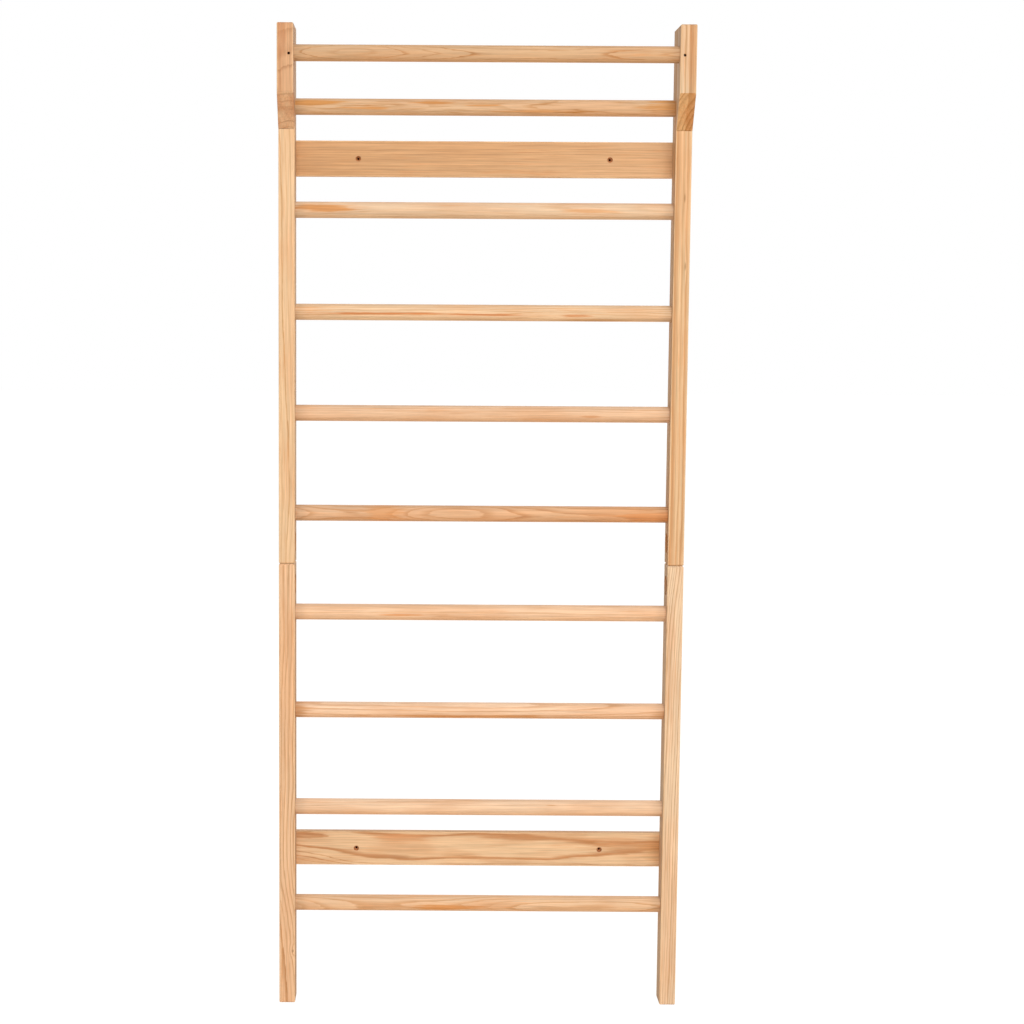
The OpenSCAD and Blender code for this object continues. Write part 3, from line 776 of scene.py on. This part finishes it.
for name in nodes:
    if "rod" in name or "nuts" in name or "washers" in name or "board_screws" in name:
        dress(name, zinc)
    if "dowels" in name:
        dress(name, beech)
dress("top_rung_screws", phosphate)
print("stage: fixings dressed")

studio = {
    "floorSize": 60,
    "floor": "#f4e0c8",
    "floorWhite": 0.9,       # share of plain white that the camera sees on the floor
    "floorGlow": 1.1,
    "worldStrength": 0.40,
}
# power, size, place, and the point that it faces
softboxes = {
    "keySoftbox": (260, (4.0, 4.0), (0.7, -5.0, 5.8), (0, 0, 1.15)),
    "fillSoftbox": (64, (3.0, 3.0), (0.3, -4.8, 0.7), (0, 0, 1.0)),
    "backSoftbox": (90, (4.0, 4.0), (0.4, 5.2, 2.4), (0, 0, 1.1)),
    # tall and narrow, so that each lights only the outer side that it faces
    "leftStripLight": (32, (0.2, 2.4), (-5.0, 0.016, 1.1), (0, 0.016, 1.1)),
    "rightStripLight": (32, (0.2, 2.4), (5.0, 0.016, 1.1), (0, 0.016, 1.1)),
}


def seenDirectly(tree):
    # 1 for what the camera, a gloss or a glass sees, 0 for what lights the object
    rays = addNode(tree, "LightPath")
    seen = addNode(tree, "Math", links={0: rays.outputs["Is Camera Ray"], 1: rays.outputs["Is Glossy Ray"]},
                   operation="MAXIMUM")
    return addNode(tree, "Math", links={0: seen, 1: rays.outputs["Is Transmission Ray"]}, operation="MAXIMUM")


bm = bmesh.new()
bmesh.ops.create_grid(bm, x_segments=1, y_segments=1, size=studio["floorSize"] / 2)
floorMesh = bpy.data.meshes.new("floor")
bm.to_mesh(floorMesh)
bm.free()
floor = bpy.data.objects.new("floor", floorMesh)
bpy.context.scene.collection.objects.link(floor)
paper, tree = newMaterial("whitePaperSweep")
share = addNode(tree, "Math", {1: studio["floorWhite"]}, {0: seenDirectly(tree)}, operation="MULTIPLY")
matt = addNode(tree, "BsdfDiffuse", {"Color": toLinear(studio["floor"])})
white = addNode(tree, "Emission", {"Color": (1, 1, 1, 1), "Strength": studio["floorGlow"]})
mixed = addNode(tree, "MixShader", links={0: share, 1: matt, 2: white})
addNode(tree, "OutputMaterial", links={"Surface": mixed})
floorMesh.materials.append(paper)

world = bpy.data.worlds.new("studio")
bpy.context.scene.world = world
world.use_nodes = True
tree = world.node_tree
tree.nodes.clear()
level = addNode(tree, "MapRange", {3: studio["worldStrength"], 4: 1.0}, {0: seenDirectly(tree)})
sky = addNode(tree, "Background", {"Color": (1, 1, 1, 1)}, {"Strength": level})
addNode(tree, "OutputWorld", links={"Surface": sky})

for name, (power, size, spot, target) in softboxes.items():
    lamp = bpy.data.lights.new(name, "AREA")
    lamp.shape = "RECTANGLE"
    lamp.size, lamp.size_y = size
    lamp.energy = power
    holder = bpy.data.objects.new(name, lamp)
    holder.location = spot
    holder.rotation_euler = (Vector(target) - Vector(spot)).to_track_quat("-Z", "Y").to_euler()
    bpy.context.scene.collection.objects.link(holder)

camera = {
    "place": (-0.14963, -4.48169, 1.60846),
    "pitch": 0.1058,
    "yaw": -0.0018,
    "roll": 0.0057,
    "lens": 70.63,
    "sensor": 36,
    "shiftX": 0.0984,
    "seesTo": 200,           # metres, so that the far floor isn't cut off
}
forward = Vector((sin(camera["yaw"]) * cos(camera["pitch"]), cos(camera["yaw"]) * cos(camera["pitch"]),
                  -sin(camera["pitch"])))
level = Vector((cos(camera["yaw"]), -sin(camera["yaw"]), 0))
upward = level.cross(forward)
right = level * cos(camera["roll"]) + upward * sin(camera["roll"])
upward = upward * cos(camera["roll"]) - level * sin(camera["roll"])
lens = bpy.data.cameras.new("camera")
lens.lens = camera["lens"]
lens.sensor_width = camera["sensor"]
lens.shift_x = camera["shiftX"]
lens.clip_end = camera["seesTo"]
eye = bpy.data.objects.new("camera", lens)
turn = Matrix((right, upward, -forward)).transposed().to_4x4()
eye.matrix_world = Matrix.Translation(camera["place"]) @ turn
bpy.context.scene.collection.objects.link(eye)
bpy.context.scene.camera = eye
bpy.context.scene.view_settings.view_transform = "Standard"
print("stage: studio ready")
